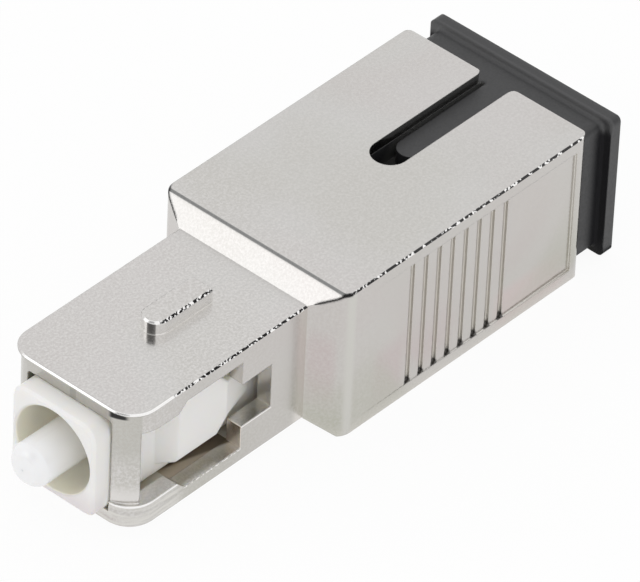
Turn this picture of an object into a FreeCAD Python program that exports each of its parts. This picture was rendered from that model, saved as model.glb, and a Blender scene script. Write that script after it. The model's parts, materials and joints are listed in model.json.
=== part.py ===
import FreeCAD, Part
import math
import os

from FreeCAD import Vector

# Hybrid fibre adapter in millimetres: a push-pull plug with a 2.5 mm ferrule at the front, and a
# receptacle for a 1.25 mm ferrule plug at the rear. X runs along the optical axis and points out of
# the plug, +Z is the key's side, and X = 0 is the shoulder between the plug and the body.

# Fits
slide_clearance = 0.05        # between the shell and the core that slides in it, on each side
seat_clearance = 0.02         # between pieces that are fixed in each other, on each side
guide_clearance = 0.10        # round the ferrule assembly where it floats
glue_gap = 0.005              # round a ferrule in the flange that it is glued into
release_travel = 1.2          # how far the shell slides back to let the plug go
float_travel = 0.9            # how far the ferrule can be pushed in
stop_gap = 0.05               # room left where a travel ends on a stop

# Shell, outside
plug_length = 13.88
plug_width = 8.90
plug_height = 7.45
plug_corner_radius = 1.6
shoulder_length = 0.96
body_length = 18.75
body_width = 12.64
body_height = 9.46
body_rise = 0.10              # of the body's middle above the optical axis
body_corner_radius = 1.0      # upright corners at the shoulder
body_rear_radius = 0.80       # upright corners at the rear end
body_rear_rounding = 0.25     # top and bottom edges of the rear end
shell_edge_chamfer = 0.10

# Shell, walls
plug_front_wall = 0.98
column_corner_radius = 2.1    # of the front wall's corners, set back under the plug's top plate
column_lip = 0.15
plug_side_wall = 0.97
plug_plate = 0.775
body_front_wall = 0.95
body_side_wall = 0.55
body_plate = 0.63
body_floor = 0.40
cavity_corner_radius = 0.45
mouth_corner_radius = 0.35    # upper corners of the opening round the nose

# Latch windows, measured back from the plug's front wall
window_front_length = 2.40
window_ramp_length = 0.60
window_middle_length = 4.18
window_rear_length = 2.22
window_front_height = 4.60
window_middle_height = 5.70
window_rear_height = 2.80

# Key on top of the plug
key_rear_x = 3.95
key_length = 4.30
key_width = 1.55
key_height = 0.81
key_edge_chamfer = 0.12
key_rear_radius = 0.25

# Slot in the top of the body
slot_length = 9.63
slot_width = 2.13
slot_mouth_radius = 0.60

# Finger grooves and side panels of the body
groove_count = 8
groove_first_x = -5.0
groove_pitch = 1.04
groove_width = 0.36
groove_depth = 0.20
groove_length = 7.90
groove_end_bevel = 0.10
panel_height = 7.90
panel_front_x = -1.30
panel_rear_border = 0.99
panel_depth = 0.15

# Receptacle
rim_side_overhang = 0.56      # how far the rim stands out past the neck
rim_top_overhang = 0.29
rim_foot_overhang = 0.38
rim_thickness = 0.82
rim_corner_radius = 0.35
rim_edge_chamfer = 0.10
neck_corner_radius = 0.40
neck_root_bevel = 0.12
neck_spare_length = 0.53      # neck that still shows with the shell slid back
rib_width = 1.60
rib_spare_gap = 0.78          # between the slot's end and the rib with the shell slid back
rib_root_inset = 0.15         # between the shell's rear end and the end of the grooves beside the rib
rib_groove_depth = 0.40
rib_pocket_depth = 1.15
rib_pocket_length = 0.60      # pocket in front of the slot's end
rib_pocket_overlap = 0.90     # deep pocket beside the rib's front end
block_front_margin = 1.50     # full section in front of the rib's pocket
boss_width = 8.20
boss_height = 7.40
boss_end_clearance = 0.65

# Receptacle port for a 1.25 mm ferrule plug with a latch on top
port_width = 4.70
port_height = 4.70
port_depth = 12.30
port_mouth_chamfer = 0.35
latch_room_height = 0.50
latch_room_depth = 6.80
latch_stem_width = 2.50
latch_roof_height = 0.40
latch_lug_width = 3.80
latch_ledge = 1.50
latch_pocket_length = 2.40
partition_thickness = 1.40

# Plug frame
nose_width = 5.70
nose_protrusion = 1.12
nose_top_radius = 1.00
nose_bottom_radius = 0.50
nose_edge_chamfer = 0.18
nose_lead_in = 0.10
nose_bore_radius = 2.525
nose_bore_depth = 5.10
ferrule_stop_wall = 1.00
ferrule_hole_clearance = 0.20
frame_bore_radius = 2.32
ridge_height = 0.75           # how far the latch ridges stand out of the frame's sides
ridge_front_gap = 1.25        # behind the front wall with the shell slid back
ridge_ramp_length = 0.95
ridge_crest_width = 3.90
ridge_tail_width = 2.30
ridge_tail_gap = 0.10         # between the ridge's tail and the window's rear end
ridge_tail_height = 0.10
ridge_edge_radius = 0.15

# Ferrules and fibre
ferrule_radius = 1.25
ferrule_length = 10.50
ferrule_protrusion = 2.15
ferrule_tip_radius = 0.80
ferrule_tip_length = 0.55
ferrule_dome = 0.10
ferrule_tip_bulge = 0.10      # roundness of both ferrules' tapers, as a share of the taper
stub_radius = 0.625
stub_length = 6.50
stub_tip_radius = 0.42
stub_tip_length = 0.25
stub_dome = 0.05
contact_setback = 1.25        # of the stub's tip, from the port's inner end
fibre_radius = 0.0625
fibre_gap = 0.001

# Flange, spring and stop
collar_radius = 2.20
collar_length = 1.80
collar_edge_chamfer = 0.20
shank_radius = 1.60
shank_bore_radius = 0.45
spring_length = 6.10
spring_wire_radius = 0.22
spring_turns = 4.0
spring_wire_sides = 6
spring_clearance = 0.12
stop_flange_radius = 2.75
stop_flange_thickness = 0.80
stop_web = 0.50

# Split sleeve and its holder
sleeve_length = 6.80
sleeve_wall = 0.185
sleeve_slit = 0.25
sleeve_grip_gap = 0.01
sleeve_end_gap = 0.05
holder_wall = 0.54
holder_root_step = 0.20       # how much thicker the tube is where it passes the partition
holder_flange_radius = 2.60
holder_flange_thickness = 0.80
holder_lip = 0.30
holder_lip_gap = 0.075

# Places along the axis, and half sizes that several pieces share
shell_rear_x = -body_length
cavity_front_x = -body_front_wall
cavity_half_width = body_width / 2 - body_side_wall
body_top_z = body_rise + body_height / 2
body_bottom_z = body_rise - body_height / 2
cavity_top_z = body_top_z - body_plate
cavity_low_z = body_bottom_z + body_floor
channel_half_width = plug_width / 2 - plug_side_wall
channel_half_height = plug_height / 2 - plug_plate
front_wall_x = plug_length - plug_front_wall

window_ramp_x = front_wall_x - window_front_length
window_middle_x = window_ramp_x - window_ramp_length
window_step_x = window_middle_x - window_middle_length
window_rear_x = window_step_x - window_rear_length

neck_length = release_travel + neck_spare_length
rim_front_x = shell_rear_x - neck_length
rear_x = rim_front_x - rim_thickness
neck_half_width = cavity_half_width - slide_clearance
neck_top_z = cavity_top_z - slide_clearance
neck_low_z = cavity_low_z + slide_clearance
rim_width = 2 * (neck_half_width + rim_side_overhang)
rim_top_z = neck_top_z + rim_top_overhang
rim_height = rim_top_z - neck_low_z + rim_foot_overhang
slot_end_x = shell_rear_x + slot_length
rib_front_x = slot_end_x - release_travel - rib_spare_gap
rib_root_x = shell_rear_x + rib_root_inset
pocket_front_x = slot_end_x + rib_pocket_length
block_front_x = pocket_front_x + block_front_margin
boss_front_x = cavity_front_x - release_travel - boss_end_clearance
partition_x = rear_x + port_depth
socket_floor_x = partition_x + partition_thickness

nose_x = plug_length + nose_protrusion
nose_height = 2 * (channel_half_height - slide_clearance)
nose_bore_end_x = nose_x - nose_bore_depth
seat_x = nose_bore_end_x - ferrule_stop_wall
stop_rear_x = socket_floor_x + holder_flange_thickness
frame_rear_x = stop_rear_x + stop_flange_thickness
ridge_front_x = front_wall_x - release_travel - ridge_front_gap
ridge_shoulder_x = window_step_x + stop_gap
ridge_tail_x = window_rear_x + ridge_tail_gap

ferrule_tip_x = nose_x + ferrule_protrusion
ferrule_rear_x = ferrule_tip_x - ferrule_length
contact_depth = port_depth - contact_setback
contact_x = rear_x + contact_depth
stub_root_x = contact_x + stub_length
collar_rear_x = seat_x - collar_length
spring_rear_x = collar_rear_x - spring_length
stop_web_x = stop_rear_x + stop_web
shank_rear_x = stop_web_x + float_travel + stop_gap
shank_guide_radius = shank_radius + guide_clearance
sleeve_bore_radius = stub_radius + sleeve_grip_gap
sleeve_radius = sleeve_bore_radius + sleeve_wall
sleeve_rear_x = contact_x - sleeve_length / 2
sleeve_front_x = contact_x + sleeve_length / 2
holder_bore_radius = sleeve_radius + 2 * seat_clearance
holder_radius = holder_bore_radius + holder_wall
holder_root_radius = holder_radius + holder_root_step
holder_lip_x = sleeve_rear_x - sleeve_end_gap
tolerance = 0.01                      # for telling one edge's place from another's
aligned = 0.999                       # least cosine between directions that count as parallel
overrun = 1.0                         # how far a cut reaches past the face that it opens


def box(x0, x1, y0, y1, z0, z1):
    return Part.makeBox(x1 - x0, y1 - y0, z1 - z0, Vector(x0, y0, z0))


def bar(x0, x1, half_width, half_height):
    return box(x0, x1, -half_width, half_width, -half_height, half_height)


def rod(x0, x1, radius):
    return Part.makeCylinder(radius, x1 - x0, Vector(x0, 0, 0), Vector(1, 0, 0))


def face(points):
    return Part.Face(Part.makePolygon(points + points[:1]))


def plan_prism(points, z0, z1):
    return face([Vector(x, y, z0) for x, y in points]).extrude(Vector(0, 0, z1 - z0))


def side_prism(points, y0, y1):
    return face([Vector(x, y0, z) for x, z in points]).extrude(Vector(0, y1 - y0, 0))


def both_sides(points):
    """Close an outline of (x, offset) points by its mirror image across the axis."""
    return points + [(x, -offset) for x, offset in reversed(points)]


def turned(profile):
    """Turn a closed profile of (x, radius) points about the optical axis."""
    outline = face([Vector(x, 0, radius) for x, radius in profile])
    return outline.revolve(Vector(0, 0, 0), Vector(1, 0, 0), 360)


def mirrored(shape):
    return shape.mirror(Vector(0, 0, 0), Vector(0, 1, 0))


def edges_along(shape, direction, keep):
    """Straight edges of a shape along one direction, at the places that keep accepts."""
    found = []
    for edge in shape.Edges:
        if not isinstance(edge.Curve, Part.Line):
            continue
        if abs(edge.Curve.Direction.dot(direction)) > aligned and keep(edge.CenterOfMass):
            found.append(edge)
    return found


def rounded_bar(x0, x1, half_width, low, high, radius):
    """Bar with rounded long edges between two heights."""
    blank = box(x0, x1, -half_width, half_width, low, high)
    return blank.makeFillet(radius, edges_along(blank, Vector(1, 0, 0), lambda place: True))


def edges_in_plane(shape, x):
    """Edges that lie in the plane at x."""
    inside = []
    for edge in shape.Edges:
        limits = edge.BoundBox
        if abs(limits.XMin - x) < tolerance and abs(limits.XMax - x) < tolerance:
            inside.append(edge)
    return inside


def shell_outside():
    """Plan outline and side outline, each extruded across the other, so that the shoulder tapers."""
    plan = both_sides([
        (shell_rear_x, body_width / 2),
        (0, body_width / 2),
        (shoulder_length, plug_width / 2),
        (plug_length, plug_width / 2),
    ])
    side = [
        (shell_rear_x, body_top_z),
        (0, body_top_z),
        (shoulder_length, plug_height / 2),
        (plug_length, plug_height / 2),
        (plug_length, -plug_height / 2),
        (shoulder_length, -plug_height / 2),
        (0, body_bottom_z),
        (shell_rear_x, body_bottom_z),
    ]
    upright = Vector(0, 0, 1)
    blank = plan_prism(plan, -body_height, body_height)
    body_corners = edges_along(blank, upright, lambda place: abs(place.x) < tolerance)
    blank = blank.makeFillet(body_corner_radius, body_corners)
    plug_corners = edges_along(blank, upright, lambda place: place.x > plug_length - tolerance)
    blank = blank.makeFillet(plug_corner_radius, plug_corners)
    blank = blank.common(side_prism(side, -body_width, body_width))
    blank = blank.makeChamfer(shell_edge_chamfer, bevelled_edges(blank))
    blank = blank.common(rear_rounding(upright, body_rear_radius))
    return blank.common(rear_rounding(Vector(0, 1, 0), body_rear_rounding))


def bevelled_edges(blank):
    """Sharp edges of the plug and the body, without the rear end and the shoulder's corners and foot."""
    found = []
    for edge in blank.Edges:
        middle_x = edge.CenterOfMass.x
        on_rear = middle_x < shell_rear_x + tolerance
        on_shoulder = tolerance < middle_x < shoulder_length + tolerance
        if sharp(blank, edge) and not on_rear and not on_shoulder:
            found.append(edge)
    return found


def rear_rounding(direction, radius):
    """Bar round the whole shell, with the two rear edges along one direction rounded."""
    half = body_width / 2
    blank = box(shell_rear_x, plug_length + overrun, -half, half, body_bottom_z, body_top_z)
    rear_edges = edges_along(blank, direction, lambda place: place.x < shell_rear_x + tolerance)
    return blank.makeFillet(radius, rear_edges)


def sharp(shape, edge):
    """True for an edge whose two faces meet at an angle."""
    sides = shape.ancestorsOfType(edge, Part.Face)
    if len(sides) != 2:
        return False
    place = edge.valueAt((edge.FirstParameter + edge.LastParameter) / 2)
    normals = [side.normalAt(*side.Surface.parameter(place)) for side in sides]
    return abs(normals[0].dot(normals[1])) < aligned


def key():
    front_radius = key_width / 2
    base_z = plug_height / 2 - plug_plate / 2
    top_z = plug_height / 2 + key_height
    nose_centre_x = key_rear_x + key_length - front_radius
    blank = box(key_rear_x, nose_centre_x, -front_radius, front_radius, base_z, top_z)
    corners = edges_along(blank, Vector(0, 0, 1), lambda place: place.x < key_rear_x + tolerance)
    blank = blank.makeFillet(key_rear_radius, corners)
    blank = blank.fuse(Part.makeCylinder(front_radius, top_z - base_z, Vector(nose_centre_x, 0, base_z)))
    blank = blank.removeSplitter()
    top_edges = [edge for edge in blank.Edges if edge.BoundBox.ZMin > top_z - tolerance]
    return blank.makeChamfer(key_edge_chamfer, top_edges)


def window_cut():
    outline = both_sides([
        (front_wall_x, window_front_height / 2),
        (window_ramp_x, window_front_height / 2),
        (window_middle_x, window_middle_height / 2),
        (window_step_x, window_middle_height / 2),
        (window_step_x, window_rear_height / 2),
        (window_rear_x, window_rear_height / 2),
    ])
    return side_prism(outline, -plug_width, plug_width)


def column_cut():
    """Sets the front wall's +Y corner back between the window's sill and the plug's top plate."""
    radius = column_corner_radius
    low = -window_front_height / 2
    high = plug_height / 2 - column_lip
    centre_x = plug_length - radius
    centre_y = plug_width / 2 - radius
    corner = box(centre_x, plug_length + overrun, centre_y, plug_width / 2 + overrun, low, high)
    return corner.cut(Part.makeCylinder(radius, high - low, Vector(centre_x, centre_y, low)))


def slot_cut():
    """Slot with a round front end and a mouth that rounds out into the body's rear edge."""
    half = slot_width / 2
    radius = slot_mouth_radius
    beyond_x = shell_rear_x - radius
    end_x = slot_end_x - half
    turn = radius * (1 - math.sqrt(0.5))
    z = neck_top_z

    def at(x, y):
        return Vector(x, y, z)

    edges = [
        Part.LineSegment(at(beyond_x, -half - radius), at(shell_rear_x, -half - radius)),
        Part.Arc(at(shell_rear_x, -half - radius), at(shell_rear_x + turn, -half - turn),
                 at(shell_rear_x + radius, -half)),
        Part.LineSegment(at(shell_rear_x + radius, -half), at(end_x, -half)),
        Part.Arc(at(end_x, -half), at(slot_end_x, 0), at(end_x, half)),
        Part.LineSegment(at(end_x, half), at(shell_rear_x + radius, half)),
        Part.Arc(at(shell_rear_x + radius, half), at(shell_rear_x + turn, half + turn),
                 at(shell_rear_x, half + radius)),
        Part.LineSegment(at(shell_rear_x, half + radius), at(beyond_x, half + radius)),
        Part.LineSegment(at(beyond_x, half + radius), at(beyond_x, -half - radius)),
    ]
    wire = Part.Wire([edge.toShape() for edge in edges])
    return Part.Face(wire).extrude(Vector(0, 0, body_height))


def groove_cut(x):
    """Upright groove with bevelled ends, cut below the surface of the slanted side panel."""
    panel_rear_x = shell_rear_x + panel_rear_border
    slope = panel_depth / (panel_front_x - panel_rear_x)
    floor_y = body_width / 2 - slope * (panel_front_x - x) - groove_depth
    half = groove_width / 2
    run = groove_length / 2
    bevel = groove_end_bevel
    right = [(x + half, body_rise - run + bevel), (x + half, body_rise + run - bevel),
             (x + half - bevel, body_rise + run)]
    left = [(x - half + bevel, body_rise + run), (x - half, body_rise + run - bevel),
            (x - half, body_rise - run + bevel)]
    foot = [(x - half + bevel, body_rise - run), (x + half - bevel, body_rise - run)]
    return side_prism(right + left + foot, floor_y, body_width / 2 + groove_depth)


def panel_cut():
    """Shallow side panel that deepens towards the rear."""
    panel_rear_x = shell_rear_x + panel_rear_border
    outer_y = body_width / 2
    outline = [
        (panel_front_x, outer_y),
        (panel_rear_x, outer_y - panel_depth),
        (panel_rear_x, outer_y + panel_depth),
        (panel_front_x, outer_y + panel_depth),
    ]
    return plan_prism(outline, body_rise - panel_height / 2, body_rise + panel_height / 2)


def mouth_cut():
    """Opening in the front wall, with its upper corners rounded."""
    half = nose_width / 2 + slide_clearance
    blank = bar(front_wall_x - overrun, plug_length + overrun, half, channel_half_height)
    upper = edges_along(blank, Vector(1, 0, 0), lambda place: place.z > 0)
    return blank.makeFillet(mouth_corner_radius, upper)


def shell():
    solid = shell_outside().fuse(key())
    cavity = rounded_bar(shell_rear_x - overrun, cavity_front_x, cavity_half_width,
                         cavity_low_z, cavity_top_z, cavity_corner_radius)
    channel = bar(cavity_front_x - overrun, front_wall_x, channel_half_width, channel_half_height)
    solid = solid.cut(cavity).cut(channel).cut(mouth_cut())
    solid = solid.cut(window_cut()).cut(slot_cut())
    sides = [column_cut(), panel_cut()]
    sides += [groove_cut(groove_first_x - groove_pitch * number) for number in range(groove_count)]
    for cut in sides:
        solid = solid.cut(cut).cut(mirrored(cut))
    return solid.removeSplitter()


def port_cut():
    """Room for the plug's square body, with the latch's stem slot and lug pocket above it."""
    half_width = port_width / 2
    half_height = port_height / 2
    room_top = half_height + latch_room_height
    roof = room_top + latch_roof_height
    outside_x = rear_x - overrun
    room_x = rear_x + latch_room_depth
    pocket_x = rear_x + latch_ledge
    cut = bar(outside_x, partition_x, half_width, half_height)
    cut = cut.fuse(box(outside_x, room_x, -half_width, half_width, 0, room_top))
    cut = cut.fuse(box(outside_x, room_x, -latch_stem_width / 2, latch_stem_width / 2, 0, roof))
    cut = cut.fuse(box(pocket_x, pocket_x + latch_pocket_length,
                       -latch_lug_width / 2, latch_lug_width / 2, 0, roof))
    return cut.removeSplitter()


def mouth_lead_in():
    """Sloping edge round the square part of the port's mouth."""
    half_width = port_width / 2
    low = -port_height / 2
    high = port_height / 2 + latch_room_height
    spread = port_mouth_chamfer

    def outline(x, margin):
        corners = [(-half_width, low), (half_width, low), (half_width, high), (-half_width, high)]
        places = []
        for y, z in corners:
            places.append(Vector(x, y + math.copysign(margin, y), z + math.copysign(margin, z)))
        return Part.makePolygon(places + places[:1])

    return Part.makeLoft([outline(rear_x, spread), outline(rear_x + spread, 0)], True, True)


def rib_grooves():
    """Grooves on both sides of the rib, and the deep pocket in front of it."""
    top = neck_top_z + overrun
    half_slot = slot_width / 2
    half_rib = rib_width / 2
    nose_x_centre = rib_front_x - half_rib
    rib = box(rib_root_x - overrun, nose_x_centre, -half_rib, half_rib, 0, top)
    rib = rib.fuse(Part.makeCylinder(half_rib, top, Vector(nose_x_centre, 0, 0)))
    floor = neck_top_z - rib_groove_depth
    trough = box(rib_root_x, pocket_front_x, -half_slot, half_slot, floor, top)
    pocket_floor = neck_top_z - rib_pocket_depth
    pocket = box(nose_x_centre - rib_pocket_overlap, pocket_front_x, -half_slot, half_slot,
                 pocket_floor, top)
    return trough.fuse(pocket).cut(rib).removeSplitter()


def receptacle():
    neck = rounded_bar(rim_front_x, block_front_x, neck_half_width, neck_low_z, neck_top_z,
                       neck_corner_radius)
    rim = rounded_bar(rear_x, rim_front_x, rim_width / 2, rim_top_z - rim_height, rim_top_z,
                      rim_corner_radius)
    solid = neck.fuse(rim.makeChamfer(rim_edge_chamfer, edges_in_plane(rim, rear_x)))
    corner = [edge for edge in edges_in_plane(solid, rim_front_x)
              if abs(edge.CenterOfMass.y) < neck_half_width + tolerance
              and neck_low_z - tolerance < edge.CenterOfMass.z < neck_top_z + tolerance]
    solid = solid.makeChamfer(neck_root_bevel, corner)
    solid = solid.fuse(bar(block_front_x, boss_front_x, boss_width / 2, boss_height / 2))
    socket = bar(socket_floor_x, boss_front_x + overrun, nose_width / 2 + seat_clearance,
                 nose_height / 2 + seat_clearance)
    solid = solid.cut(socket).cut(port_cut()).cut(mouth_lead_in()).cut(rib_grooves())
    root_hole = holder_root_radius + seat_clearance
    solid = solid.cut(rod(partition_x - overrun, socket_floor_x + overrun, root_hole))
    return solid.removeSplitter()


def frame_bar():
    """Square bar of the plug frame: rounder upper corners, and a bevel round the nose."""
    blank = bar(frame_rear_x, nose_x, nose_width / 2, nose_height / 2)
    upper = edges_along(blank, Vector(1, 0, 0), lambda place: place.z > 0)
    blank = blank.makeFillet(nose_top_radius, upper)
    lower = edges_along(blank, Vector(1, 0, 0), lambda place: place.z < tolerance - nose_height / 2)
    blank = blank.makeFillet(nose_bottom_radius, lower)
    return blank.makeChamfer(nose_edge_chamfer, edges_in_plane(blank, nose_x))


def latch_ridge():
    """Ridge on the frame's +Y side: a ramp in front, a crest, and a tail that narrows and falls back."""
    root_y = nose_width / 2 - (nose_width / 2 - frame_bore_radius) / 2
    side_y = nose_width / 2
    crest_y = side_y + ridge_height
    crest_rear_x = ridge_shoulder_x + ridge_edge_radius
    plan = [
        (ridge_front_x, root_y),
        (ridge_front_x, side_y),
        (ridge_front_x - ridge_ramp_length, crest_y),
        (crest_rear_x, crest_y),
        (ridge_tail_x, side_y + ridge_tail_height),
        (ridge_tail_x, root_y),
    ]
    bevel = (ridge_crest_width - ridge_tail_width) / 2
    side = both_sides([
        (ridge_front_x, ridge_crest_width / 2),
        (ridge_shoulder_x + bevel, ridge_crest_width / 2),
        (ridge_shoulder_x, ridge_tail_width / 2),
        (ridge_tail_x, ridge_tail_width / 2),
    ])
    solid = plan_prism(plan, -ridge_crest_width, ridge_crest_width)
    solid = solid.common(side_prism(side, root_y, crest_y + overrun))
    upper = [edge for edge in solid.Edges if edge.BoundBox.YMin > side_y + ridge_tail_height / 2]
    return solid.makeFillet(ridge_edge_radius, upper)


def plug_frame():
    solid = frame_bar()
    bore = rod(nose_bore_end_x, nose_x + overrun, nose_bore_radius)
    lead_in = Part.makeCone(nose_bore_radius, nose_bore_radius + nose_lead_in, nose_lead_in,
                            Vector(nose_x - nose_lead_in, 0, 0), Vector(1, 0, 0))
    hole = rod(seat_x - overrun, nose_bore_end_x + overrun, ferrule_radius + ferrule_hole_clearance)
    rear_bore = rod(frame_rear_x - overrun, seat_x, frame_bore_radius)
    solid = solid.cut(bore).cut(lead_in).cut(hole).cut(rear_bore)
    ridge = latch_ridge()
    return solid.fuse(ridge).fuse(mirrored(ridge)).removeSplitter()


def ferrule(root_x, tip_x, radius, tip_radius, tip_length, dome):
    """Ceramic ferrule with a rounded, domed tip and a bore for the fibre; it may point either way."""
    way = math.copysign(1, tip_x - root_x)
    edge_x = tip_x - way * dome
    shoulder_x = edge_x - way * tip_length
    bore = fibre_radius + fibre_gap
    bend_x = (shoulder_x + edge_x) / 2 + way * ferrule_tip_bulge * tip_length
    bend_radius = (radius + tip_radius) / 2 + ferrule_tip_bulge * (radius - tip_radius)
    dome_radius = (tip_radius ** 2 + dome ** 2) / (2 * dome)

    def at(x, offset):
        return Vector(x, 0, offset)

    def on_dome(offset):
        return at(tip_x - way * (dome_radius - math.sqrt(dome_radius ** 2 - offset ** 2)), offset)

    edges = [
        Part.LineSegment(at(root_x, bore), at(root_x, radius)),
        Part.LineSegment(at(root_x, radius), at(shoulder_x, radius)),
        Part.Arc(at(shoulder_x, radius), at(bend_x, bend_radius), at(edge_x, tip_radius)),
        Part.Arc(at(edge_x, tip_radius), on_dome(tip_radius / 2), on_dome(bore)),
        Part.LineSegment(on_dome(bore), at(root_x, bore)),
    ]
    profile = Part.Face(Part.Wire([edge.toShape() for edge in edges]))
    return profile.revolve(Vector(0, 0, 0), Vector(1, 0, 0), 360)


def ferrule_flange():
    """Turned barrel: collar with a socket for the plug ferrule, and a shank that holds the stub."""
    return turned([
        (seat_x, ferrule_radius + glue_gap),
        (seat_x, collar_radius - collar_edge_chamfer),
        (seat_x - collar_edge_chamfer, collar_radius),
        (collar_rear_x, collar_radius),
        (collar_rear_x, shank_radius),
        (shank_rear_x, shank_radius),
        (shank_rear_x, stub_radius + glue_gap),
        (stub_root_x, stub_radius + glue_gap),
        (stub_root_x, shank_bore_radius),
        (ferrule_rear_x, shank_bore_radius),
        (ferrule_rear_x, ferrule_radius + glue_gap),
    ])


def spring():
    """Wire wound between the stop and the collar, touching both with its ends."""
    wire_radius = spring_wire_radius
    coil_radius = shank_radius + spring_clearance + wire_radius
    height = spring_length - 2 * wire_radius
    helix = Part.makeHelix(height / spring_turns, height, coil_radius)
    start = Vector(coil_radius, 0, 0)
    corners = []
    for number in range(spring_wire_sides):
        angle = 2 * math.pi * number / spring_wire_sides
        corners.append(start + Vector(math.sin(angle), 0, math.cos(angle)) * wire_radius)
    section = Part.makePolygon(corners + corners[:1])
    coil = Part.Wire(helix.Edges).makePipeShell([section], True, True)
    coil.rotate(Vector(0, 0, 0), Vector(0, 1, 0), 90)
    coil.translate(Vector(spring_rear_x + wire_radius, 0, 0))
    return coil


def spring_stop():
    body_radius = frame_bore_radius - seat_clearance
    return turned([
        (spring_rear_x, shank_guide_radius),
        (spring_rear_x, body_radius),
        (frame_rear_x, body_radius),
        (frame_rear_x, stop_flange_radius),
        (stop_rear_x, stop_flange_radius),
        (stop_rear_x, stub_radius + guide_clearance),
        (stop_web_x, stub_radius + guide_clearance),
        (stop_web_x, shank_guide_radius),
    ])


def sleeve_holder():
    return turned([
        (stop_rear_x, holder_bore_radius),
        (stop_rear_x, holder_flange_radius),
        (socket_floor_x, holder_flange_radius),
        (socket_floor_x, holder_root_radius),
        (partition_x, holder_root_radius),
        (partition_x, holder_radius),
        (holder_lip_x - holder_lip, holder_radius),
        (holder_lip_x - holder_lip, stub_radius + holder_lip_gap),
        (holder_lip_x, stub_radius + holder_lip_gap),
        (holder_lip_x, holder_bore_radius),
    ])


def split_sleeve():
    ring = rod(sleeve_rear_x, sleeve_front_x, sleeve_radius)
    ring = ring.cut(rod(sleeve_rear_x - overrun, sleeve_front_x + overrun, sleeve_bore_radius))
    slit = box(sleeve_rear_x - overrun, sleeve_front_x + overrun, -sleeve_slit / 2, sleeve_slit / 2,
               0, 2 * sleeve_radius)
    return ring.cut(slit)


pieces = {
    "shell": shell(),
    "receptacle": receptacle(),
    "plug_frame": plug_frame(),
    "plug_ferrule": ferrule(ferrule_rear_x, ferrule_tip_x, ferrule_radius, ferrule_tip_radius,
                            ferrule_tip_length, ferrule_dome),
    "ferrule_flange": ferrule_flange(),
    "stub_ferrule": ferrule(stub_root_x, contact_x, stub_radius, stub_tip_radius, stub_tip_length,
                            stub_dome),
    "fibre": rod(contact_x, ferrule_tip_x, fibre_radius),
    "spring": spring(),
    "spring_stop": spring_stop(),
    "sleeve_holder": sleeve_holder(),
    "split_sleeve": split_sleeve(),
}

os.makedirs("parts", exist_ok=True)
for name, piece in pieces.items():
    solid = piece.Solids[0]
    solid.exportStep("parts/" + name + ".step")
    print(name, "solids", len(piece.Solids), "valid", solid.isValid(), "volume", round(solid.Volume, 3))
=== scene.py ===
import json
import math

import bpy
from mathutils import Matrix, Vector


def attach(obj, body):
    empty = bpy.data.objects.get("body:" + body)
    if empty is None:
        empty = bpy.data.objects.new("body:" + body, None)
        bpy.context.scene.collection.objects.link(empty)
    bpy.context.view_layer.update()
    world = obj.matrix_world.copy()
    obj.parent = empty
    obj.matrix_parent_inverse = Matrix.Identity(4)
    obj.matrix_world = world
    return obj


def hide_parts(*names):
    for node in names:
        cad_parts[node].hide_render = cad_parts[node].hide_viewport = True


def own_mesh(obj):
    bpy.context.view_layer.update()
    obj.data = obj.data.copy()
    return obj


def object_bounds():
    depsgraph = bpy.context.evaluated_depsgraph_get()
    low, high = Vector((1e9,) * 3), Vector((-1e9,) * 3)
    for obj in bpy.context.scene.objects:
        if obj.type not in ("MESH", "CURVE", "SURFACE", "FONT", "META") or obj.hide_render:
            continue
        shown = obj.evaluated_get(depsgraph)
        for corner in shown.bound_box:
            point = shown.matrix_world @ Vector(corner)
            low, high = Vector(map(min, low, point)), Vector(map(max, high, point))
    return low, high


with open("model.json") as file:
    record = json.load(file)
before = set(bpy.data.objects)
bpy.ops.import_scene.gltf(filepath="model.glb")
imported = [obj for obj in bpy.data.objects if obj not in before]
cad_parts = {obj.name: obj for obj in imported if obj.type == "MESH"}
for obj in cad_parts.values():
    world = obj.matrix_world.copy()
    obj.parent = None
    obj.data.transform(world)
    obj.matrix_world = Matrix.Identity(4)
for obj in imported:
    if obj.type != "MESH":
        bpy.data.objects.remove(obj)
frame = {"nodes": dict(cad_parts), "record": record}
cad_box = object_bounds()

MM = 0.001
WHITE = (1, 1, 1, 1)

# Camera, from the lines of the photograph, with angles in degrees
camera_place = Vector((274.36, 237.31, 301.85)) * MM
camera_azimuth = 40.33                  # from +X towards +Y
camera_elevation = 39.60
camera_roll = 2.78
camera_lens = 518.97                    # millimetres, for the sensor's width
camera_near = 10 * MM
sensor_width = 36.0

# Studio, with lengths in metres and angles in degrees
floor_size = 6.0
floor_colour = (0.97, 0.97, 0.965, 1)
floor_white_share = 0.93                # of the floor that shows plain white to the camera
floor_gloss_share = 0.75                # and in gloss, which shows more of the object's shadow
world_fill = 0.90                       # world light on matt surfaces
softbox_azimuth = -35
softbox_elevation = 30
softbox_distance = 0.45
softbox_size = 0.20
softbox_radiance = 0.62
gap_colour = (0.35, 0.35, 0.35, 1)      # of the gaps between the studio's white screens
# Each gap has the azimuth and elevation of its middle, and how far from it the gap is full and gone
screen_gaps = [(130, 20, 9, 16), (-10, 8, 11, 16), (5, 45, 16, 22), (-79, 59, 5, 10)]

# Places on the part, in millimetres
window_rear_x = 3.5
window_step_x = 5.72
window_middle_x = 9.9
lip_low_z = -2.42
lip_top_z = -2.3
groove_first_x = -5.0
groove_pitch = 1.04
sill_gap_slope = 0.29                   # by which the painted shadow in the gap under the latch ridge narrows along the sill
past_front_x = 14.0                     # this and the next three lie outside the shell
past_rear_x = -20.0
past_top_z = 6.0
past_low_z = -5.0

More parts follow.
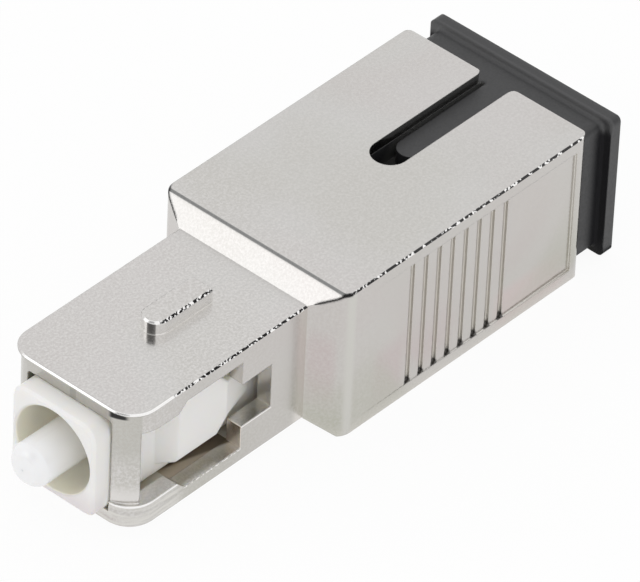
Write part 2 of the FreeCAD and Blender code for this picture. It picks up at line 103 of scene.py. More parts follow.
# Zones on the part, with limits along some axes as (from, to, fade past both) in millimetres
shoulder_zone = {"along": (-0.3, 1.2, 0.3)}
soft_edge_zone = {"along": (-0.3, 0.6, 0.2)}
sharp_edge_zone = {"along": (0.85, 1.1, 0.1)}
blush_zone = {"along": (0.4, 0.8, 0.3), "height": (-1.5, 1.0, 2.0)}
front_flush_zone = {"along": (-4.0, -2.8, 1.0), "height": (-3.0, -1.2, 1.5)}
rear_flush_zone = {"along": (-16.5, -12.7, 1.5), "height": (-3.9, -2.7, 1.0)}
# Where a painted highlight lies on the body's front corners
body_corner_zone = {"along": (-0.45, -0.30, 0.35)}
# Zones of painted shade at the grooves' lower ends and on the slot's walls
groove_end_zone = {"along": (-12.6, -4.7, 0.05), "off_axis": (5.9, 6.3, 0.01),
                   "height": (-3.92, -3.75, 0.2)}
slot_zone = {"along": (past_rear_x, -8.5, 0.3), "off_axis": (0.0, 1.3, 0.3),
             "height": (4.0, past_top_z, 0.1)}
# Zones of the painted highlight on the key's sides and the painted shade down its nose
key_zone = {"along": (3.9, 8.3, 0.2), "off_axis": (0.0, 0.8, 0.1), "height": (3.75, past_top_z, 0.02)}
key_streak_zone = {"across": (0.12, 0.48, 0.06)}
crease_zone = {"along": (-0.25, 0.25, 0.05)}
# Zones of the columns' painted shade and light, and the lip's painted highlight
column_zone = {"along": (12.9, past_front_x, 0.05), "height": (lip_top_z, past_top_z, 0.02)}
band_zone = {"along": (11.0, past_front_x, 1.5), "height": (past_low_z, lip_low_z, 0.02)}
lip_zone = {"along": (10.4, past_front_x, 0.1), "height": (lip_low_z, lip_top_z, 0.03)}
# Zones of the windows' painted highlights, shade and light
rear_sill_edge_zone = {"along": (window_rear_x, window_step_x, 0.05), "height": (-1.49, -1.42, 0.02)}
low_sill_edge_zone = {"along": (window_step_x, window_middle_x, 0.05), "height": (-2.94, -2.87, 0.02)}
low_sill_zone = {"along": (5.6, window_middle_x, 0.05), "height": (-2.97, -2.75, 0.02)}
window_step_zone = {"along": (5.6, 5.8, 0.05), "height": (-3.0, -1.38, 0.05)}
# Zone of the painted shadow under the plug's top plate
undercut_zone = {"along": (13.3, past_front_x, 0.05), "across": (2.9, 3.5, 0.25),
                 "height": (3.25, 3.62, 0.1)}
neck_root_zone = {"along": (-20.60, -20.30, 0.15)}
neck_corner_zone = {"off_axis": (5.0, 6.2, 0.05)}

# Ramps on the part, from none to full, in millimetres
top_edge_height = (3.2, 3.4)            # of the edges that get nicks and painted reflections
side_shade_height = (2.5, -4.5)           # where the tints grow stronger and darker low on the sides, as painted shade
# Painted shade: olive low on the shoulder's walls
shoulder_shade_height = (-1.5, -3.5)
# Heights of the painted shade at the columns' tops and the painted light at their bases
column_top_height = (-0.5, 1.5)
column_base_height = (-0.8, -2.0)
body_to_plug = (-8.0, 6.0)              # along, where coarse nicks turn into fine ones
bright_edge_start = (10.6, 11.0)        # along, where the plug's edge has no more painted dark dashes
plain_wall_end = (12.5, 9.0)            # along, where walls have less grain
shoulder_foot_start = (0.95, 0.98)      # along, where the painted light at the shoulder's foot begins
shoulder_foot_end = (1.95, 1.3)
key_nose_start = (7.3, 7.5)             # along, where the painted shade down the key's nose begins
sill_edge_width = (4.3, 4.4)            # off the axis, where the painted highlight on the sill's edge begins
sill_inner_width = (3.55, 3.45)
sill_gap_width = (3.85, 3.60)           # of the painted shadow in the gap under the latch ridge, at the window's step
window_step_width = (3.3, 3.4)
groove_half_width = (0.30, 0.18)
# Where the painted light on the neck's top and the painted shade in its side corners lie
neck_top_height = (3.4, 4.0)
neck_side_height = (4.0, 3.2)
neck_start = (-18.2, -18.6)             # along
# Where the painted shade low on the nose's front and the painted warm light in the bore lie
nose_foot_height = (-1.0, -2.9)
nose_start = (13.9, 14.4)               # along
bore_radius = (2.58, 2.54)
bore_start = (9.0, 9.8)                 # along

# Directions of faces, by the parts of their normals, from none to full
wall_lean = (0.5, 0.3)                  # Z of an upright face
square_on = (0.8, 0.9)                  # of a face square to an axis
bevel_lean = (0.40, 0.46)               # Y times Z of a bevel between top and side
bevel_z = 0.707
bevel_z_margin = (0.035, 0.02)
glint_side = (-0.3, -0.1)            # Y of the bevels that get a painted highlight
# Z of the crease above the shoulder, which gets a painted dark line
crease_z = 0.91
crease_z_margin = (0.05, 0.03)
slanted_lean = (0.02, 0.05)             # X times Y times Z of the shoulder's slanted edges, which get a painted dark reflection
edge_turn = (0.995, 0.90)               # between the flat and the rounded normal at an edge

# Noise: features for each millimetre, and the values that a mask runs between
noise_spread = (0.3, 0.7)               # where most of any noise lies
nickel_grain_per_mm = 7.0
nickel_grain_detail = 3.0
nickel_grain_roughness = 0.65           # of the noise
nickel_ripple_per_mm = 1.1
nickel_cloud_per_mm = 0.16
nickel_cloud_values = (0.35, 0.65)
tint_per_mm = 0.13
pink_values = (0.50, 0.62)
olive_values = (0.48, 0.36)
bright_grain_values = (0.35, 0.70)
body_nicks_per_mm = 5.0
plug_nicks_per_mm = 7.0
body_nick_drop = 0.025                  # taken off the noise, for fewer nicks
plug_nick_drop = -0.01
nick_values = (0.52, 0.56)
band_streaks_per_mm = 1.6
band_streak_stretch = (0.25, 0.25, 3.0)
band_streak_values = (0.35, 0.62)

# Nickel plate: shares of its layers, and its surface
warm_wall_share = 0.6
blush_share = 0.7
tint_shares = (0.15, 0.75)              # high and low on the sides; the low share is painted shade
body_grain_share = 0.45
wall_grain_share = 0.4
column_top_share = 0.7
sill_inner_share = 0.8
# Painted light in hollows: how far it reaches and where it starts
recess_reach = 2.0                      # millimetres
recess_openness = (0.70, 0.35)
edge_radius = 0.12                      # millimetres
soft_edge_radius = 0.24
sharp_edge_share = 0.1                  # of the radius, at the shoulder's foot
dash_tilt = (1, 1.075, 0.92, 1)         # of the bevels' normals between nicks and at them
nick_tilt = (1, 0.55, 1.3, 1)
nickel_roughness = (0.16, 0.24)
edge_roughness_share = 0.6
recess_roughness = 0.25                 # added
nickel_relief = 0.006                   # millimetres
ripple_share = 0.8
face_relief_share = 0.55
edge_relief_share = 1.0
wall_relief_drop = 0.3

# Nickel plate: colours, many of them painted light and shade
nickel = {
    "dull": (0.560, 0.545, 0.525, 1),
    "clear": (0.580, 0.570, 0.556, 1),
    "warm wall": (0.575, 0.548, 0.518, 1),
    "pink": (0.560, 0.480, 0.475, 1),
    "rear pink": (0.61, 0.53, 0.515, 1),
    "olive": (0.500, 0.495, 0.435, 1),
    "grain": (0.68, 0.665, 0.65, 1),
    # Painted light in hollows, at the shoulder's foot and on the body's front corners
    "painted hollow light": (0.74, 0.715, 0.665, 1),
    "painted shoulder foot light": (0.78, 0.75, 0.715, 1),
    "painted body corner highlight": (0.62, 0.61, 0.575, 1),
    # Painted shade at the grooves' lower ends and on the slot's walls
    "groove end shade": (0.14, 0.135, 0.13, 1),
    "slot wall shade": (0.35, 0.35, 0.34, 1),
    # Painted highlight on the key's sides, and painted shade down its nose
    "key side highlight": (0.95, 0.94, 0.93, 1),
    "key streak shade": (0.28, 0.275, 0.27, 1),
    # Painted highlight on the bevels, painted dark dashes of reflection, and the crease's painted dark line
    "polished": (0.92, 0.91, 0.90, 1),
    "body dash": (0.13, 0.13, 0.13, 1),
    "plug dash": (0.05, 0.05, 0.05, 1),
    "crease": (0.32, 0.32, 0.315, 1),
    # Painted shade at the columns' tops, painted light at their bases, and a painted highlight on the lip
    "column top shade": (0.505, 0.495, 0.455, 1),
    "column base light": (0.74, 0.72, 0.70, 1),
    "band": (0.71, 0.695, 0.66, 1),
    "lip": (0.95, 0.94, 0.93, 1),
    # Painted highlight on the sills' edges, painted shade on the inner sill and in the gap under the latch
    # ridge, and painted light on the window's step
    "sill edge highlight": (0.90, 0.88, 0.86, 1),
    "inner sill shade": (0.50, 0.43, 0.34, 1),
    "sill gap shadow": (0.19, 0.155, 0.12, 1),
    "window step light": (0.97, 0.90, 0.84, 1),
    # Painted shadow under the plug's top plate, and painted dark reflections on the shoulder's slanted edges
    "undercut shadow": (0.04, 0.04, 0.04, 1),
    "slanted edge dark reflection": (0.02, 0.02, 0.02, 1),
}

# Black plastic
black_tones = ((0.017, 0.017, 0.0185, 1), (0.021, 0.021, 0.023, 1))
black_crevice = (0.09, 0.09, 0.087, 1)
# Painted light on top at the neck's root
black_fillet_light = (0.055, 0.055, 0.057, 1)
black_fillet_light_share = 0.8
black_grain_per_mm = 9.0
black_grain_roughness = 0.6             # of the noise
black_cloud_per_mm = 0.3
black_edge_radius = 0.06                # millimetres
black_top_edge_radius = 0.35
black_roughness = (0.38, 0.50)
black_relief = 0.006                    # millimetres
black_relief_share = 0.4
black_reach = 1.0                       # millimetres
crevice_openness = (0.6, 0.2)
# Painted shade: the gloss drops in hemmed-in corners
corner_shade_openness = (0.95, 0.72)
black_gloss = 0.68
corner_shade_gloss = 0.03

# White plastic
white_tones = ((0.90, 0.885, 0.865, 1), (0.92, 0.91, 0.895, 1))
# Painted shade low on the nose's front, painted warm shade in hollows and painted warm light in the bore
white_nose_foot_shade = (0.80, 0.755, 0.77, 1)
white_shade = (0.96, 0.935, 0.86, 1)
white_bore_light = (0.985, 0.945, 0.82, 1)
white_grain_per_mm = 4.0
white_cloud_per_mm = 0.4
white_edge_radius = 0.10                # millimetres
white_edge_samples = 6
white_roughness = (0.30, 0.40)
white_relief = 0.003                    # millimetres
white_relief_share = 0.3
white_reach = 3.0                       # millimetres
shade_openness = (0.70, 0.30)
white_glow = {"Subsurface Weight": 0.4, "Subsurface Scale": 0.5 * MM, "Subsurface Radius": (1.0, 0.85, 0.60)}

# Silica
silica_tones = ((0.84, 0.88, 0.91, 1), (0.92, 0.94, 0.96, 1))
silica_cloud_per_mm = 1.0
silica_roughness = (0.05, 0.12)
silica_see_through = 0.2
silica_ior = 1.46

# Rays that a node sends out to find edges and recesses
ray_samples = 8


class Graph:
    """Node tree with short calls that add nodes and join them."""

    def __init__(self, tree):
        self.tree = tree
        tree.nodes.clear()

    def node(self, kind, inputs=None, **settings):
        made = self.tree.nodes.new(kind)
        for name, value in settings.items():
            setattr(made, name, value)
        for name, value in (inputs or {}).items():
            if isinstance(value, bpy.types.NodeSocket):
                self.tree.links.new(value, made.inputs[name])
            else:
                made.inputs[name].default_value = value
        return made

    def math(self, operation, first, second=0.0, clamp=False):
        made = self.node("ShaderNodeMath", {0: first, 1: second}, operation=operation, use_clamp=clamp)
        return made.outputs[0]

    def product(self, *values):
        result = values[0]
        for value in values[1:]:
            result = self.math("MULTIPLY", result, value)
        return result

    def vector(self, operation, first, second=(0, 0, 0), output="Vector"):
        made = self.node("ShaderNodeVectorMath", {0: first, 1: second}, operation=operation)
        return made.outputs[output]

    def point(self):
        return self.node("ShaderNodeTexCoord").outputs["Object"]

    def axes(self, vector):
        return self.node("ShaderNodeSeparateXYZ", {0: vector}).outputs

    def span(self, value, low, high, to_low=0.0, to_high=1.0):
        """Turn the span from low to high into the span from to_low to to_high, smoothly and no further."""
        inputs = {"Value": value, "From Min": low, "From Max": high, "To Min": to_low, "To Max": to_high}
        return self.node("ShaderNodeMapRange", inputs, interpolation_type="SMOOTHSTEP").outputs[0]

    def ramp(self, value, start, end):
        """0 at the start and 1 at the end of a ramp in millimetres, and level outside it."""
        return self.span(value, start * MM, end * MM)

    def within(self, value, low, high, fade):
        """1 between two limits in millimetres, fading out past each of them."""
        return self.product(self.ramp(value, low - fade, low), self.ramp(value, high + fade, high))

    def close_to(self, value, middle, gone, full):
        """0 where a value is further than gone from the middle, and 1 where it is nearer than full."""
        return self.span(self.math("ABSOLUTE", self.math("SUBTRACT", value, middle)), gone, full)

    def between(self, mask, first, second):
        """The first number where the mask is 0, and the second where it is 1."""
        return self.span(mask, 0.0, 1.0, first, second)

    def spread(self, noise, first, second):
        """The first number where noise is low, and the second where it is high."""
        return self.span(noise, *noise_spread, first, second)

    def mix(self, share, first, second):
        made = self.node("ShaderNodeMix", {0: share, 6: first, 7: second}, data_type="RGBA")
        return made.outputs[2]

    def noise(self, point, per_mm, detail=2.0, roughness=0.5, stretch=None):
        """Noise with that many features for each millimetre."""
        if stretch:
            point = self.vector("MULTIPLY", point, stretch)
        inputs = {"Vector": point, "Scale": per_mm / MM, "Detail": detail, "Roughness": roughness}
        return self.node("ShaderNodeTexNoise", inputs).outputs[0]

    def openness(self, reach_mm):
        """1 where a surface is open, and less where others come within reach of it."""
        made = self.node("ShaderNodeAmbientOcclusion", {"Distance": reach_mm * MM}, samples=ray_samples)
        return made.outputs["AO"]

    def rounded(self, radius, samples=ray_samples):
        """Normal that rounds the edges by a radius in metres."""
        return self.node("ShaderNodeBevel", {"Radius": radius}, samples=samples).outputs[0]

    def bump(self, height, depth_mm, strength=1.0, normal=None):
        inputs = {"Height": height, "Distance": depth_mm * MM, "Strength": strength}
        if normal:
            inputs["Normal"] = normal
        return self.node("ShaderNodeBump", inputs).outputs[0]

    def surface(self, shader):
        self.node("ShaderNodeOutputMaterial", {"Surface": shader})

    def principled(self, inputs):
        self.surface(self.node("ShaderNodeBsdfPrincipled", inputs).outputs[0])


class Places:
    """Where the points of a piece lie along the axes of the part."""

    def __init__(self, graph):
        self.graph = graph
        self.point = graph.point()
        self.along, self.across, self.height = graph.axes(self.point)
        self.off_axis = graph.math("ABSOLUTE", self.across)

    def zone(self, limits):
        """1 in a zone of the part, and 0 well outside it."""
        sides = [self.graph.within(getattr(self, axis), *limit) for axis, limit in limits.items()]
        return self.graph.product(*sides)


class Shell(Places):
    """Masks and normals that the layers of the shell's finish share."""

    def __init__(self, graph):
        super().__init__(graph)
        self.flat = graph.node("ShaderNodeNewGeometry").outputs["True Normal"]
        self.face_x, self.face_y, self.face_z = graph.axes(self.flat)
        self.wall = graph.span(graph.math("ABSOLUTE", self.face_z), *wall_lean)
        self.plain_wall = graph.product(self.wall, graph.ramp(self.along, *plain_wall_end))
        self.shoulder = self.zone(shoulder_zone)
        self.plug = graph.ramp(self.along, *body_to_plug)
        self.on_top = graph.ramp(self.height, *top_edge_height)
        # Mask of hollows, for their painted light and some extra roughness
        self.deep = graph.span(graph.openness(recess_reach), *recess_openness)
        self.grain = graph.noise(self.point, nickel_grain_per_mm, detail=nickel_grain_detail,
                                 roughness=nickel_grain_roughness)
        self.rounded = self.rounded_normal()
        self.edge = graph.span(graph.vector("DOT_PRODUCT", self.rounded, self.flat, "Value"), *edge_turn)
        lean = graph.math("ABSOLUTE", graph.product(self.face_y, self.face_z))
        self.bevel = graph.product(graph.span(lean, *bevel_lean), self.on_top)
        self.nick = self.nicks()

    def rounded_normal(self):
        """Normal with rounded edges, softer over the shoulder and nearly sharp at its foot."""
        graph = self.graph
        radius = graph.between(self.zone(soft_edge_zone), edge_radius * MM, soft_edge_radius * MM)
        share = graph.between(self.zone(sharp_edge_zone), 1.0, sharp_edge_share)
        return graph.rounded(graph.product(radius, share))

    def nicks(self):
        """1 at the nicks in the edges, and all along the edge at the plug's front end."""
        graph = self.graph
        coarse = graph.noise(self.point, body_nicks_per_mm, detail=1.0)
        fine = graph.noise(self.point, plug_nicks_per_mm, detail=1.0)
        drop = graph.between(self.plug, body_nick_drop, plug_nick_drop)
        noise = graph.math("SUBTRACT", graph.mix(self.plug, coarse, fine), drop)
        return graph.math("MAXIMUM", graph.span(noise, *nick_values),
                          graph.ramp(self.along, *bright_edge_start))

    def nicked_normal(self):
        """Rounded normal that the nicks turn up and down on the bevels."""
        graph = self.graph
        turned = graph.vector("MULTIPLY", self.flat, graph.mix(self.nick, dash_tilt, nick_tilt))
        return graph.mix(self.bevel, self.rounded, graph.vector("NORMALIZE", turned))


def new_material(name):
    made = bpy.data.materials.new(name)
    made.use_nodes = True
    return made, Graph(made.node_tree)


def tints(shell):
    """Warm walls, with pink and olive tints, and painted shade that makes the tints stronger low on the
    sides and lays olive low on the shoulder's walls.
    """
    graph = shell.graph
    tint = graph.noise(shell.point, tint_per_mm, detail=0.0)
    # Painted shade: the tints grow stronger low on the sides, where the floor's shadow falls in their
    # reflection
    low = graph.between(graph.ramp(shell.height, *side_shade_height), *tint_shares)
    pink = graph.product(graph.span(tint, *pink_values), low)
    blush = graph.product(shell.zone(blush_zone), shell.wall, blush_share)
    olive = graph.product(graph.span(tint, *olive_values), low)
    shoulder_low_shade = graph.product(shell.shoulder, shell.wall, graph.ramp(shell.height, *shoulder_shade_height))
    return [
        (graph.product(shell.wall, warm_wall_share), nickel["warm wall"]),
        (graph.math("MAXIMUM", pink, blush), nickel["pink"]),
        (graph.product(shell.zone(front_flush_zone), shell.wall, blush_share), nickel["pink"]),
        (graph.product(shell.zone(rear_flush_zone), shell.wall), nickel["rear pink"]),
        (graph.math("MAXIMUM", olive, shoulder_low_shade), nickel["olive"]),
    ]


def bright_grain(shell):
    """Bright grains, fewer on the body and on plain walls."""
    graph = shell.graph
    grains = graph.product(graph.span(shell.grain, *bright_grain_values),
                           graph.between(shell.plug, body_grain_share, 1.0),
                           graph.between(shell.plain_wall, 1.0, wall_grain_share))
    return [(grains, nickel["grain"])]


def painted_recess_light(shell):
    """Painted light in hollows, at the shoulder's foot and on the body's front corners, all painted lighter
    than the faces round them.
    """
    graph = shell.graph
    foot = graph.product(shell.wall, graph.ramp(shell.along, *shoulder_foot_start),
                         graph.ramp(shell.along, *shoulder_foot_end))
    return [
        (shell.deep, nickel["painted hollow light"]),
        (foot, nickel["painted shoulder foot light"]),
        (graph.product(shell.wall, shell.zone(body_corner_zone)), nickel["painted body corner highlight"]),
    ]


def painted_groove_and_slot_shade(shell):
    """Painted shade: dark lower ends of the finger grooves, and dark walls in the slot."""
    graph = shell.graph
    from_first = graph.math("SUBTRACT", shell.along, groove_first_x * MM)
    from_nearest = graph.math("PINGPONG", from_first, groove_pitch / 2 * MM)
    groove = graph.ramp(from_nearest, *groove_half_width)
    return [
        (graph.product(groove, shell.zone(groove_end_zone)), nickel["groove end shade"]),
        (graph.product(shell.wall, shell.zone(slot_zone)), nickel["slot wall shade"]),
    ]


def painted_key_light_and_shade(shell):
    """Painted light and shade on the key: bright sides, and a dark streak of shade down its nose."""
    graph = shell.graph
    streak = graph.product(shell.zone(key_streak_zone), graph.ramp(shell.along, *key_nose_start))
    bare = graph.math("SUBTRACT", 1.0, streak)
    return [
        (graph.product(shell.wall, shell.zone(key_zone), bare), nickel["key side highlight"]),
        (graph.product(streak, shell.wall), nickel["key streak shade"]),
    ]


def painted_edge_reflections(shell):
    """Painted reflections on the edges: a bright highlight on the bevels on top, dark dashes between their
    nicks, and a dark line at the crease above the shoulder.
    """
    graph = shell.graph
    # Painted highlight on the bevels on top
    polished = graph.product(graph.close_to(shell.face_z, bevel_z, *bevel_z_margin),
                             graph.span(shell.face_y, *glint_side), shell.on_top)
    dark_reflection_dash = graph.mix(shell.plug, nickel["body dash"], nickel["plug dash"])
    crease = graph.product(graph.close_to(shell.face_z, crease_z, *crease_z_margin), shell.zone(crease_zone))
    return [
        (polished, nickel["polished"]),
        (graph.math("SUBTRACT", shell.bevel, shell.nick, clamp=True), dark_reflection_dash),
        (crease, nickel["crease"]),
    ]


def plug_front(shell):
    """Columns beside the nose, with painted shade at their tops and painted light at their bases, the
    streaked band below them, and the lip between the two with a painted highlight.
    """
    graph = shell.graph
    column = graph.product(shell.wall, shell.zone(column_zone))
    streaks = graph.noise(shell.point, band_streaks_per_mm, stretch=band_streak_stretch)
    band = graph.product(shell.wall, shell.zone(band_zone), graph.span(streaks, *band_streak_values))
    return [
        (graph.product(column, graph.ramp(shell.height, *column_top_height), column_top_share),
         nickel["column top shade"]),
        (graph.product(column, graph.ramp(shell.height, *column_base_height)), nickel["column base light"]),
        (band, nickel["band"]),
        (graph.product(shell.wall, shell.zone(lip_zone)), nickel["lip"]),
    ]


def painted_window_light_and_shade(shell):
    """Painted light and shade in the windows: highlights on the sills' edges, brown shade on the inner sill,
    a dark shadow in the gap under the latch ridges, and light on the step behind them.
    """
    graph = shell.graph
    nicked = graph.product(shell.zone(low_sill_edge_zone), shell.nick)
    edge = graph.product(shell.wall, graph.ramp(shell.off_axis, *sill_edge_width),
                         graph.math("MAXIMUM", shell.zone(rear_sill_edge_zone), nicked))
    sill = graph.product(graph.span(shell.face_z, *square_on), shell.zone(low_sill_zone))
    from_step = graph.math("SUBTRACT", shell.along, window_step_x * MM)
    slant = graph.math("ADD", shell.off_axis, graph.product(from_step, sill_gap_slope))
    step = graph.product(graph.span(shell.face_x, *square_on), shell.zone(window_step_zone),
                         graph.ramp(shell.off_axis, *window_step_width))
    return [
        (edge, nickel["sill edge highlight"]),
        (graph.product(sill, graph.ramp(shell.off_axis, *sill_inner_width), sill_inner_share),
         nickel["inner sill shade"]),
        (graph.product(sill, graph.ramp(slant, *sill_gap_width)), nickel["sill gap shadow"]),
        (step, nickel["window step light"]),
    ]


def painted_dark_corners(shell):
    """Painted shadow under the overhang of the plug's top plate, and painted dark reflections on the
    shoulder's slanted edges.
    """
    graph = shell.graph
    bent_x, bent_y, bent_z = graph.axes(shell.rounded)
    lean = graph.product(bent_x, graph.math("ABSOLUTE", bent_y), bent_z)
    return [
        (graph.product(shell.wall, shell.zone(undercut_zone)), nickel["undercut shadow"]),
        (graph.product(graph.span(lean, *slanted_lean), shell.shoulder), nickel["slanted edge dark reflection"]),
    ]


def nickel_plate():
    """Satin nickel on a casting: fine grain, faint tints with painted shade low on the sides, nicked edges
    with painted highlights and dark reflections, and painted light and shade in hollows, windows and
    corners.
    """
    made, graph = new_material("nickel_plate")
    shell = Shell(graph)
    cloud = graph.noise(shell.point, nickel_cloud_per_mm, detail=1.0)
    colour = graph.mix(graph.span(cloud, *nickel_cloud_values), nickel["dull"], nickel["clear"])
    makers = [tints, bright_grain, painted_recess_light, painted_groove_and_slot_shade, painted_key_light_and_shade, painted_edge_reflections, plug_front,
              painted_window_light_and_shade, painted_dark_corners]
    for layers in makers:
        for mask, tone in layers(shell):
            colour = graph.mix(mask, colour, tone)

    rough = graph.product(graph.spread(shell.grain, *nickel_roughness),
                          graph.between(shell.edge, 1.0, edge_roughness_share))
    rough = graph.math("ADD", rough, graph.product(shell.deep, recess_roughness))
    ripple = graph.noise(shell.point, nickel_ripple_per_mm, detail=1.0)
    relief = graph.math("ADD", shell.grain, graph.product(ripple, ripple_share))
    strength = graph.math("SUBTRACT", graph.between(shell.edge, face_relief_share, edge_relief_share),
                          graph.product(shell.plain_wall, wall_relief_drop))
    normal = graph.bump(relief, nickel_relief, strength, shell.nicked_normal())
    graph.principled({"Base Color": colour, "Metallic": 1.0, "Roughness": rough, "Normal": normal})
    return made


def black_plastic():
    """Black moulded plastic with a fine spark-eroded surface, with painted shade that turns its gloss down
    in the corners beside the rim, and painted light on top at the neck's root.
    """
    made, graph = new_material("black_plastic")
    places = Places(graph)
    on_top = graph.product(graph.ramp(places.height, *neck_top_height),
                           graph.ramp(places.along, *neck_start))
    root = places.zone(neck_root_zone)
    grain = graph.noise(places.point, black_grain_per_mm, roughness=black_grain_roughness)
    openness = graph.openness(black_reach)
    colour = graph.mix(graph.noise(places.point, black_cloud_per_mm), *black_tones)
    colour = graph.mix(graph.span(openness, *crevice_openness), colour, black_crevice)
    # Painted light on top at the neck's root
    colour = graph.mix(graph.product(on_top, root, black_fillet_light_share), colour, black_fillet_light)
    # Painted shade: the gloss turned down in the corners beside the rim
    corner = graph.math("MAXIMUM", graph.product(root, places.zone(neck_corner_zone)),
                        graph.span(openness, *corner_shade_openness))
    corner = graph.product(corner, graph.ramp(places.height, *neck_side_height))
    rounded = graph.rounded(graph.between(on_top, black_edge_radius * MM, black_top_edge_radius * MM))
    graph.principled({"Base Color": colour, "Roughness": graph.spread(grain, *black_roughness),
                      "Normal": graph.bump(grain, black_relief, black_relief_share, rounded),
                      "Specular IOR Level": graph.between(corner, black_gloss, corner_shade_gloss)})
    return made


def white_plastic():
    """White moulded plastic, slightly see-through, with painted warm shade in its hollows, painted warm
    light in the bore, and painted shade low on the nose's front.
    """
    made, graph = new_material("white_plastic")
    places = Places(graph)
    grain = graph.noise(places.point, white_grain_per_mm)
    colour = graph.mix(graph.noise(places.point, white_cloud_per_mm, detail=1.0), *white_tones)
    # Painted shade low on the nose's front
    foot = graph.product(graph.ramp(places.height, *nose_foot_height),
                         graph.ramp(places.along, *nose_start))
    colour = graph.mix(foot, colour, white_nose_foot_shade)
    # Painted warm shade in hollows
    colour = graph.mix(graph.span(graph.openness(white_reach), *shade_openness), colour, white_shade)
    # Painted warm light in the bore
    radius = graph.vector("LENGTH", graph.vector("MULTIPLY", places.point, (0, 1, 1)), output="Value")
    bore = graph.product(graph.ramp(radius, *bore_radius), graph.ramp(places.along, *bore_start))
    colour = graph.mix(bore, colour, white_bore_light)
    rounded = graph.rounded(white_edge_radius * MM, white_edge_samples)
    graph.principled({"Base Color": colour, "Roughness": graph.spread(grain, *white_roughness),
                      "Normal": graph.bump(grain, white_relief, white_relief_share, rounded), **white_glow})
    return made


def plain_finish(name, tones, cloud_per_mm, marks_per_mm, roughness, relief, relief_share, stretch=None,
                 shader=None):
    """Two clouded tones, with marks that change the gloss and stand out by a relief in millimetres."""
    made, graph = new_material(name)
    point = graph.point()
    marks = graph.noise(point, marks_per_mm, stretch=stretch)
    colour = graph.mix(graph.noise(point, cloud_per_mm, detail=1.0), *tones)
    graph.principled({"Base Color": colour, "Roughness": graph.spread(marks, *roughness),
                      "Normal": graph.bump(marks, relief, relief_share), **(shader or {})})
    return made


def zirconia():
    """Ground and polished white ceramic."""
    return plain_finish("zirconia", tones=((0.92, 0.92, 0.935, 1), (0.94, 0.94, 0.95, 1)),
                        cloud_per_mm=0.5, marks_per_mm=3.0, stretch=(6.0, 1.0, 1.0), roughness=(0.20, 0.27),
                        relief=0.001, relief_share=0.3,
                        shader={"IOR": 2.1, "Subsurface Weight": 0.20, "Subsurface Scale": 0.3 * MM,
                                "Subsurface Radius": (1.0, 0.9, 0.8)})


def turned_metal():
    """Nickelled brass with fine turning marks round the axis."""
    return plain_finish("turned_metal", tones=((0.60, 0.57, 0.51, 1), (0.66, 0.64, 0.60, 1)),
                        cloud_per_mm=0.5, marks_per_mm=0.8, stretch=(20.0, 0.6, 0.6), roughness=(0.22, 0.36),
                        relief=0.004, relief_share=0.4, shader={"Metallic": 1.0})


def spring_steel():
    """Drawn steel wire with faint die marks."""
    return plain_finish("spring_steel", tones=((0.50, 0.50, 0.50, 1), (0.60, 0.60, 0.59, 1)),
                        cloud_per_mm=0.8, marks_per_mm=5.0, roughness=(0.20, 0.34),
                        relief=0.002, relief_share=0.4, shader={"Metallic": 1.0})


def holder_plastic():
    """Dark moulded plastic, a little greyer than the receptacle."""
    return plain_finish("holder_plastic", tones=((0.045, 0.045, 0.050, 1), (0.060, 0.060, 0.066, 1)),
                        cloud_per_mm=0.5, marks_per_mm=6.0, roughness=(0.40, 0.52),
                        relief=0.004, relief_share=0.3)


def silica():
    """Bare glass fibre, faintly clouded along its length."""
    made, graph = new_material("silica")
    cloud = graph.noise(graph.point(), silica_cloud_per_mm, detail=1.0)
    graph.principled({"Base Color": graph.mix(cloud, *silica_tones),
                      "Roughness": graph.spread(cloud, *silica_roughness),
                      "Transmission Weight": silica_see_through, "IOR": silica_ior})
    return made


def finish_nodes():
    """Give each CAD node the finish of its slot in the record."""
    makers = [nickel_plate, black_plastic, white_plastic, zirconia, turned_metal, spring_steel, silica,
              holder_plastic]
    finishes = {maker.__name__: maker() for maker in makers}
    for subpart in frame["record"]["subparts"]:
        node = frame["nodes"][subpart["node"]]
        node.data.materials.clear()
        node.data.materials.append(finishes[subpart["material_slot"]])


def spring_coil():
    """Copy of the spring, with a mesh of its own, that moves with the core."""
    coil = bpy.data.objects.new("spring_coil", frame["nodes"]["spring"].data.copy())
    bpy.context.scene.collection.objects.link(coil)
    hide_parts("spring")
    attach(coil, "core")
    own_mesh(coil)


def seen_directly(graph, gloss_share=1.0):
    """1 for what the camera sees or glass shows of it, and a share of that for what gloss shows."""
    path = graph.node("ShaderNodeLightPath").outputs
    gloss = graph.product(path["Is Glossy Ray"], gloss_share)
    seen = graph.math("ADD", path["Is Camera Ray"], gloss)
    return graph.math("ADD", seen, path["Is Transmission Ray"], clamp=True)


def floor():
    """White paper that shows plain white, apart from a share that keeps the object's shadow."""
    low = cad_box[0].z
    half = floor_size / 2
    corners = [(-half, -half, low), (half, -half, low), (half, half, low), (-half, half, low)]
    mesh = bpy.data.meshes.new("floor")
    mesh.from_pydata(corners, [], [(0, 1, 2, 3)])
    made = bpy.data.objects.new("floor", mesh)
    bpy.context.scene.collection.objects.link(made)
    paper, graph = new_material("white_paper")
    matt = graph.node("ShaderNodeBsdfDiffuse", {"Color": floor_colour}).outputs[0]
    plain = graph.node("ShaderNodeEmission", {"Color": WHITE, "Strength": 1.0}).outputs[0]
    seen = seen_directly(graph, floor_gloss_share / floor_white_share)
    share = graph.product(seen, floor_white_share)
    graph.surface(graph.node("ShaderNodeMixShader", {0: share, 1: matt, 2: plain}).outputs[0])
    mesh.materials.append(paper)


def outward(azimuth, elevation):
    """Direction from the object, with angles in degrees."""
    azimuth, elevation = math.radians(azimuth), math.radians(elevation)
    return Vector((math.cos(azimuth) * math.cos(elevation), math.sin(azimuth) * math.cos(elevation),
                   math.sin(elevation)))


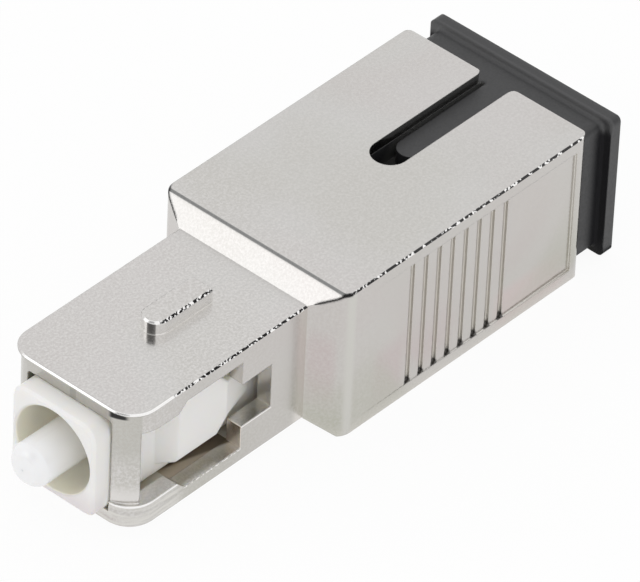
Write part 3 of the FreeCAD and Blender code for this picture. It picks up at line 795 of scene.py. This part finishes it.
def studio_world():
    """White screens all round, with gaps that only gloss shows."""
    world = bpy.data.worlds.new("studio")
    bpy.context.scene.world = world
    world.use_nodes = True
    graph = Graph(world.node_tree)
    direction = graph.node("ShaderNodeTexCoord").outputs["Generated"]
    gaps = 0.0
    for azimuth, elevation, full, gone in screen_gaps:
        nearness = graph.vector("DOT_PRODUCT", direction, outward(azimuth, elevation), "Value")
        gap = graph.span(nearness, math.cos(math.radians(gone)), math.cos(math.radians(full)))
        gaps = graph.math("MAXIMUM", gaps, gap)
    path = graph.node("ShaderNodeLightPath").outputs
    colour = graph.mix(path["Is Glossy Ray"], WHITE, graph.mix(gaps, WHITE, gap_colour))
    strength = graph.between(seen_directly(graph), world_fill, 1.0)
    background = graph.node("ShaderNodeBackground", {"Color": colour, "Strength": strength}).outputs[0]
    graph.node("ShaderNodeOutputWorld", {"Surface": background})


def softbox():
    """Square lamp that faces the object."""
    towards_lamp = outward(softbox_azimuth, softbox_elevation)
    lamp = bpy.data.lights.new("front_softbox", "AREA")
    lamp.size = softbox_size
    lamp.energy = softbox_radiance * math.pi * softbox_size ** 2
    made = bpy.data.objects.new("front_softbox", lamp)
    made.location = towards_lamp * softbox_distance
    made.rotation_mode = "QUATERNION"
    made.rotation_quaternion = towards_lamp.to_track_quat("Z", "Y")
    bpy.context.scene.collection.objects.link(made)


def camera():
    """Camera where the photograph was taken from."""
    backward = outward(camera_azimuth, camera_elevation)
    level = Vector((0, 0, 1)).cross(backward).normalized()
    upright = backward.cross(level)
    roll = math.radians(camera_roll)
    right = math.cos(roll) * level + math.sin(roll) * upright
    up = math.cos(roll) * upright - math.sin(roll) * level
    lens = bpy.data.cameras.new("camera")
    lens.lens = camera_lens
    lens.sensor_width = sensor_width
    lens.clip_start = camera_near
    made = bpy.data.objects.new("camera", lens)
    turn = Matrix((right, up, backward)).transposed().to_4x4()
    made.matrix_world = Matrix.Translation(camera_place) @ turn
    bpy.context.scene.collection.objects.link(made)
    bpy.context.scene.camera = made


finish_nodes()
spring_coil()
floor()
studio_world()
softbox()
camera()
bpy.context.scene.view_settings.view_transform = "Standard"
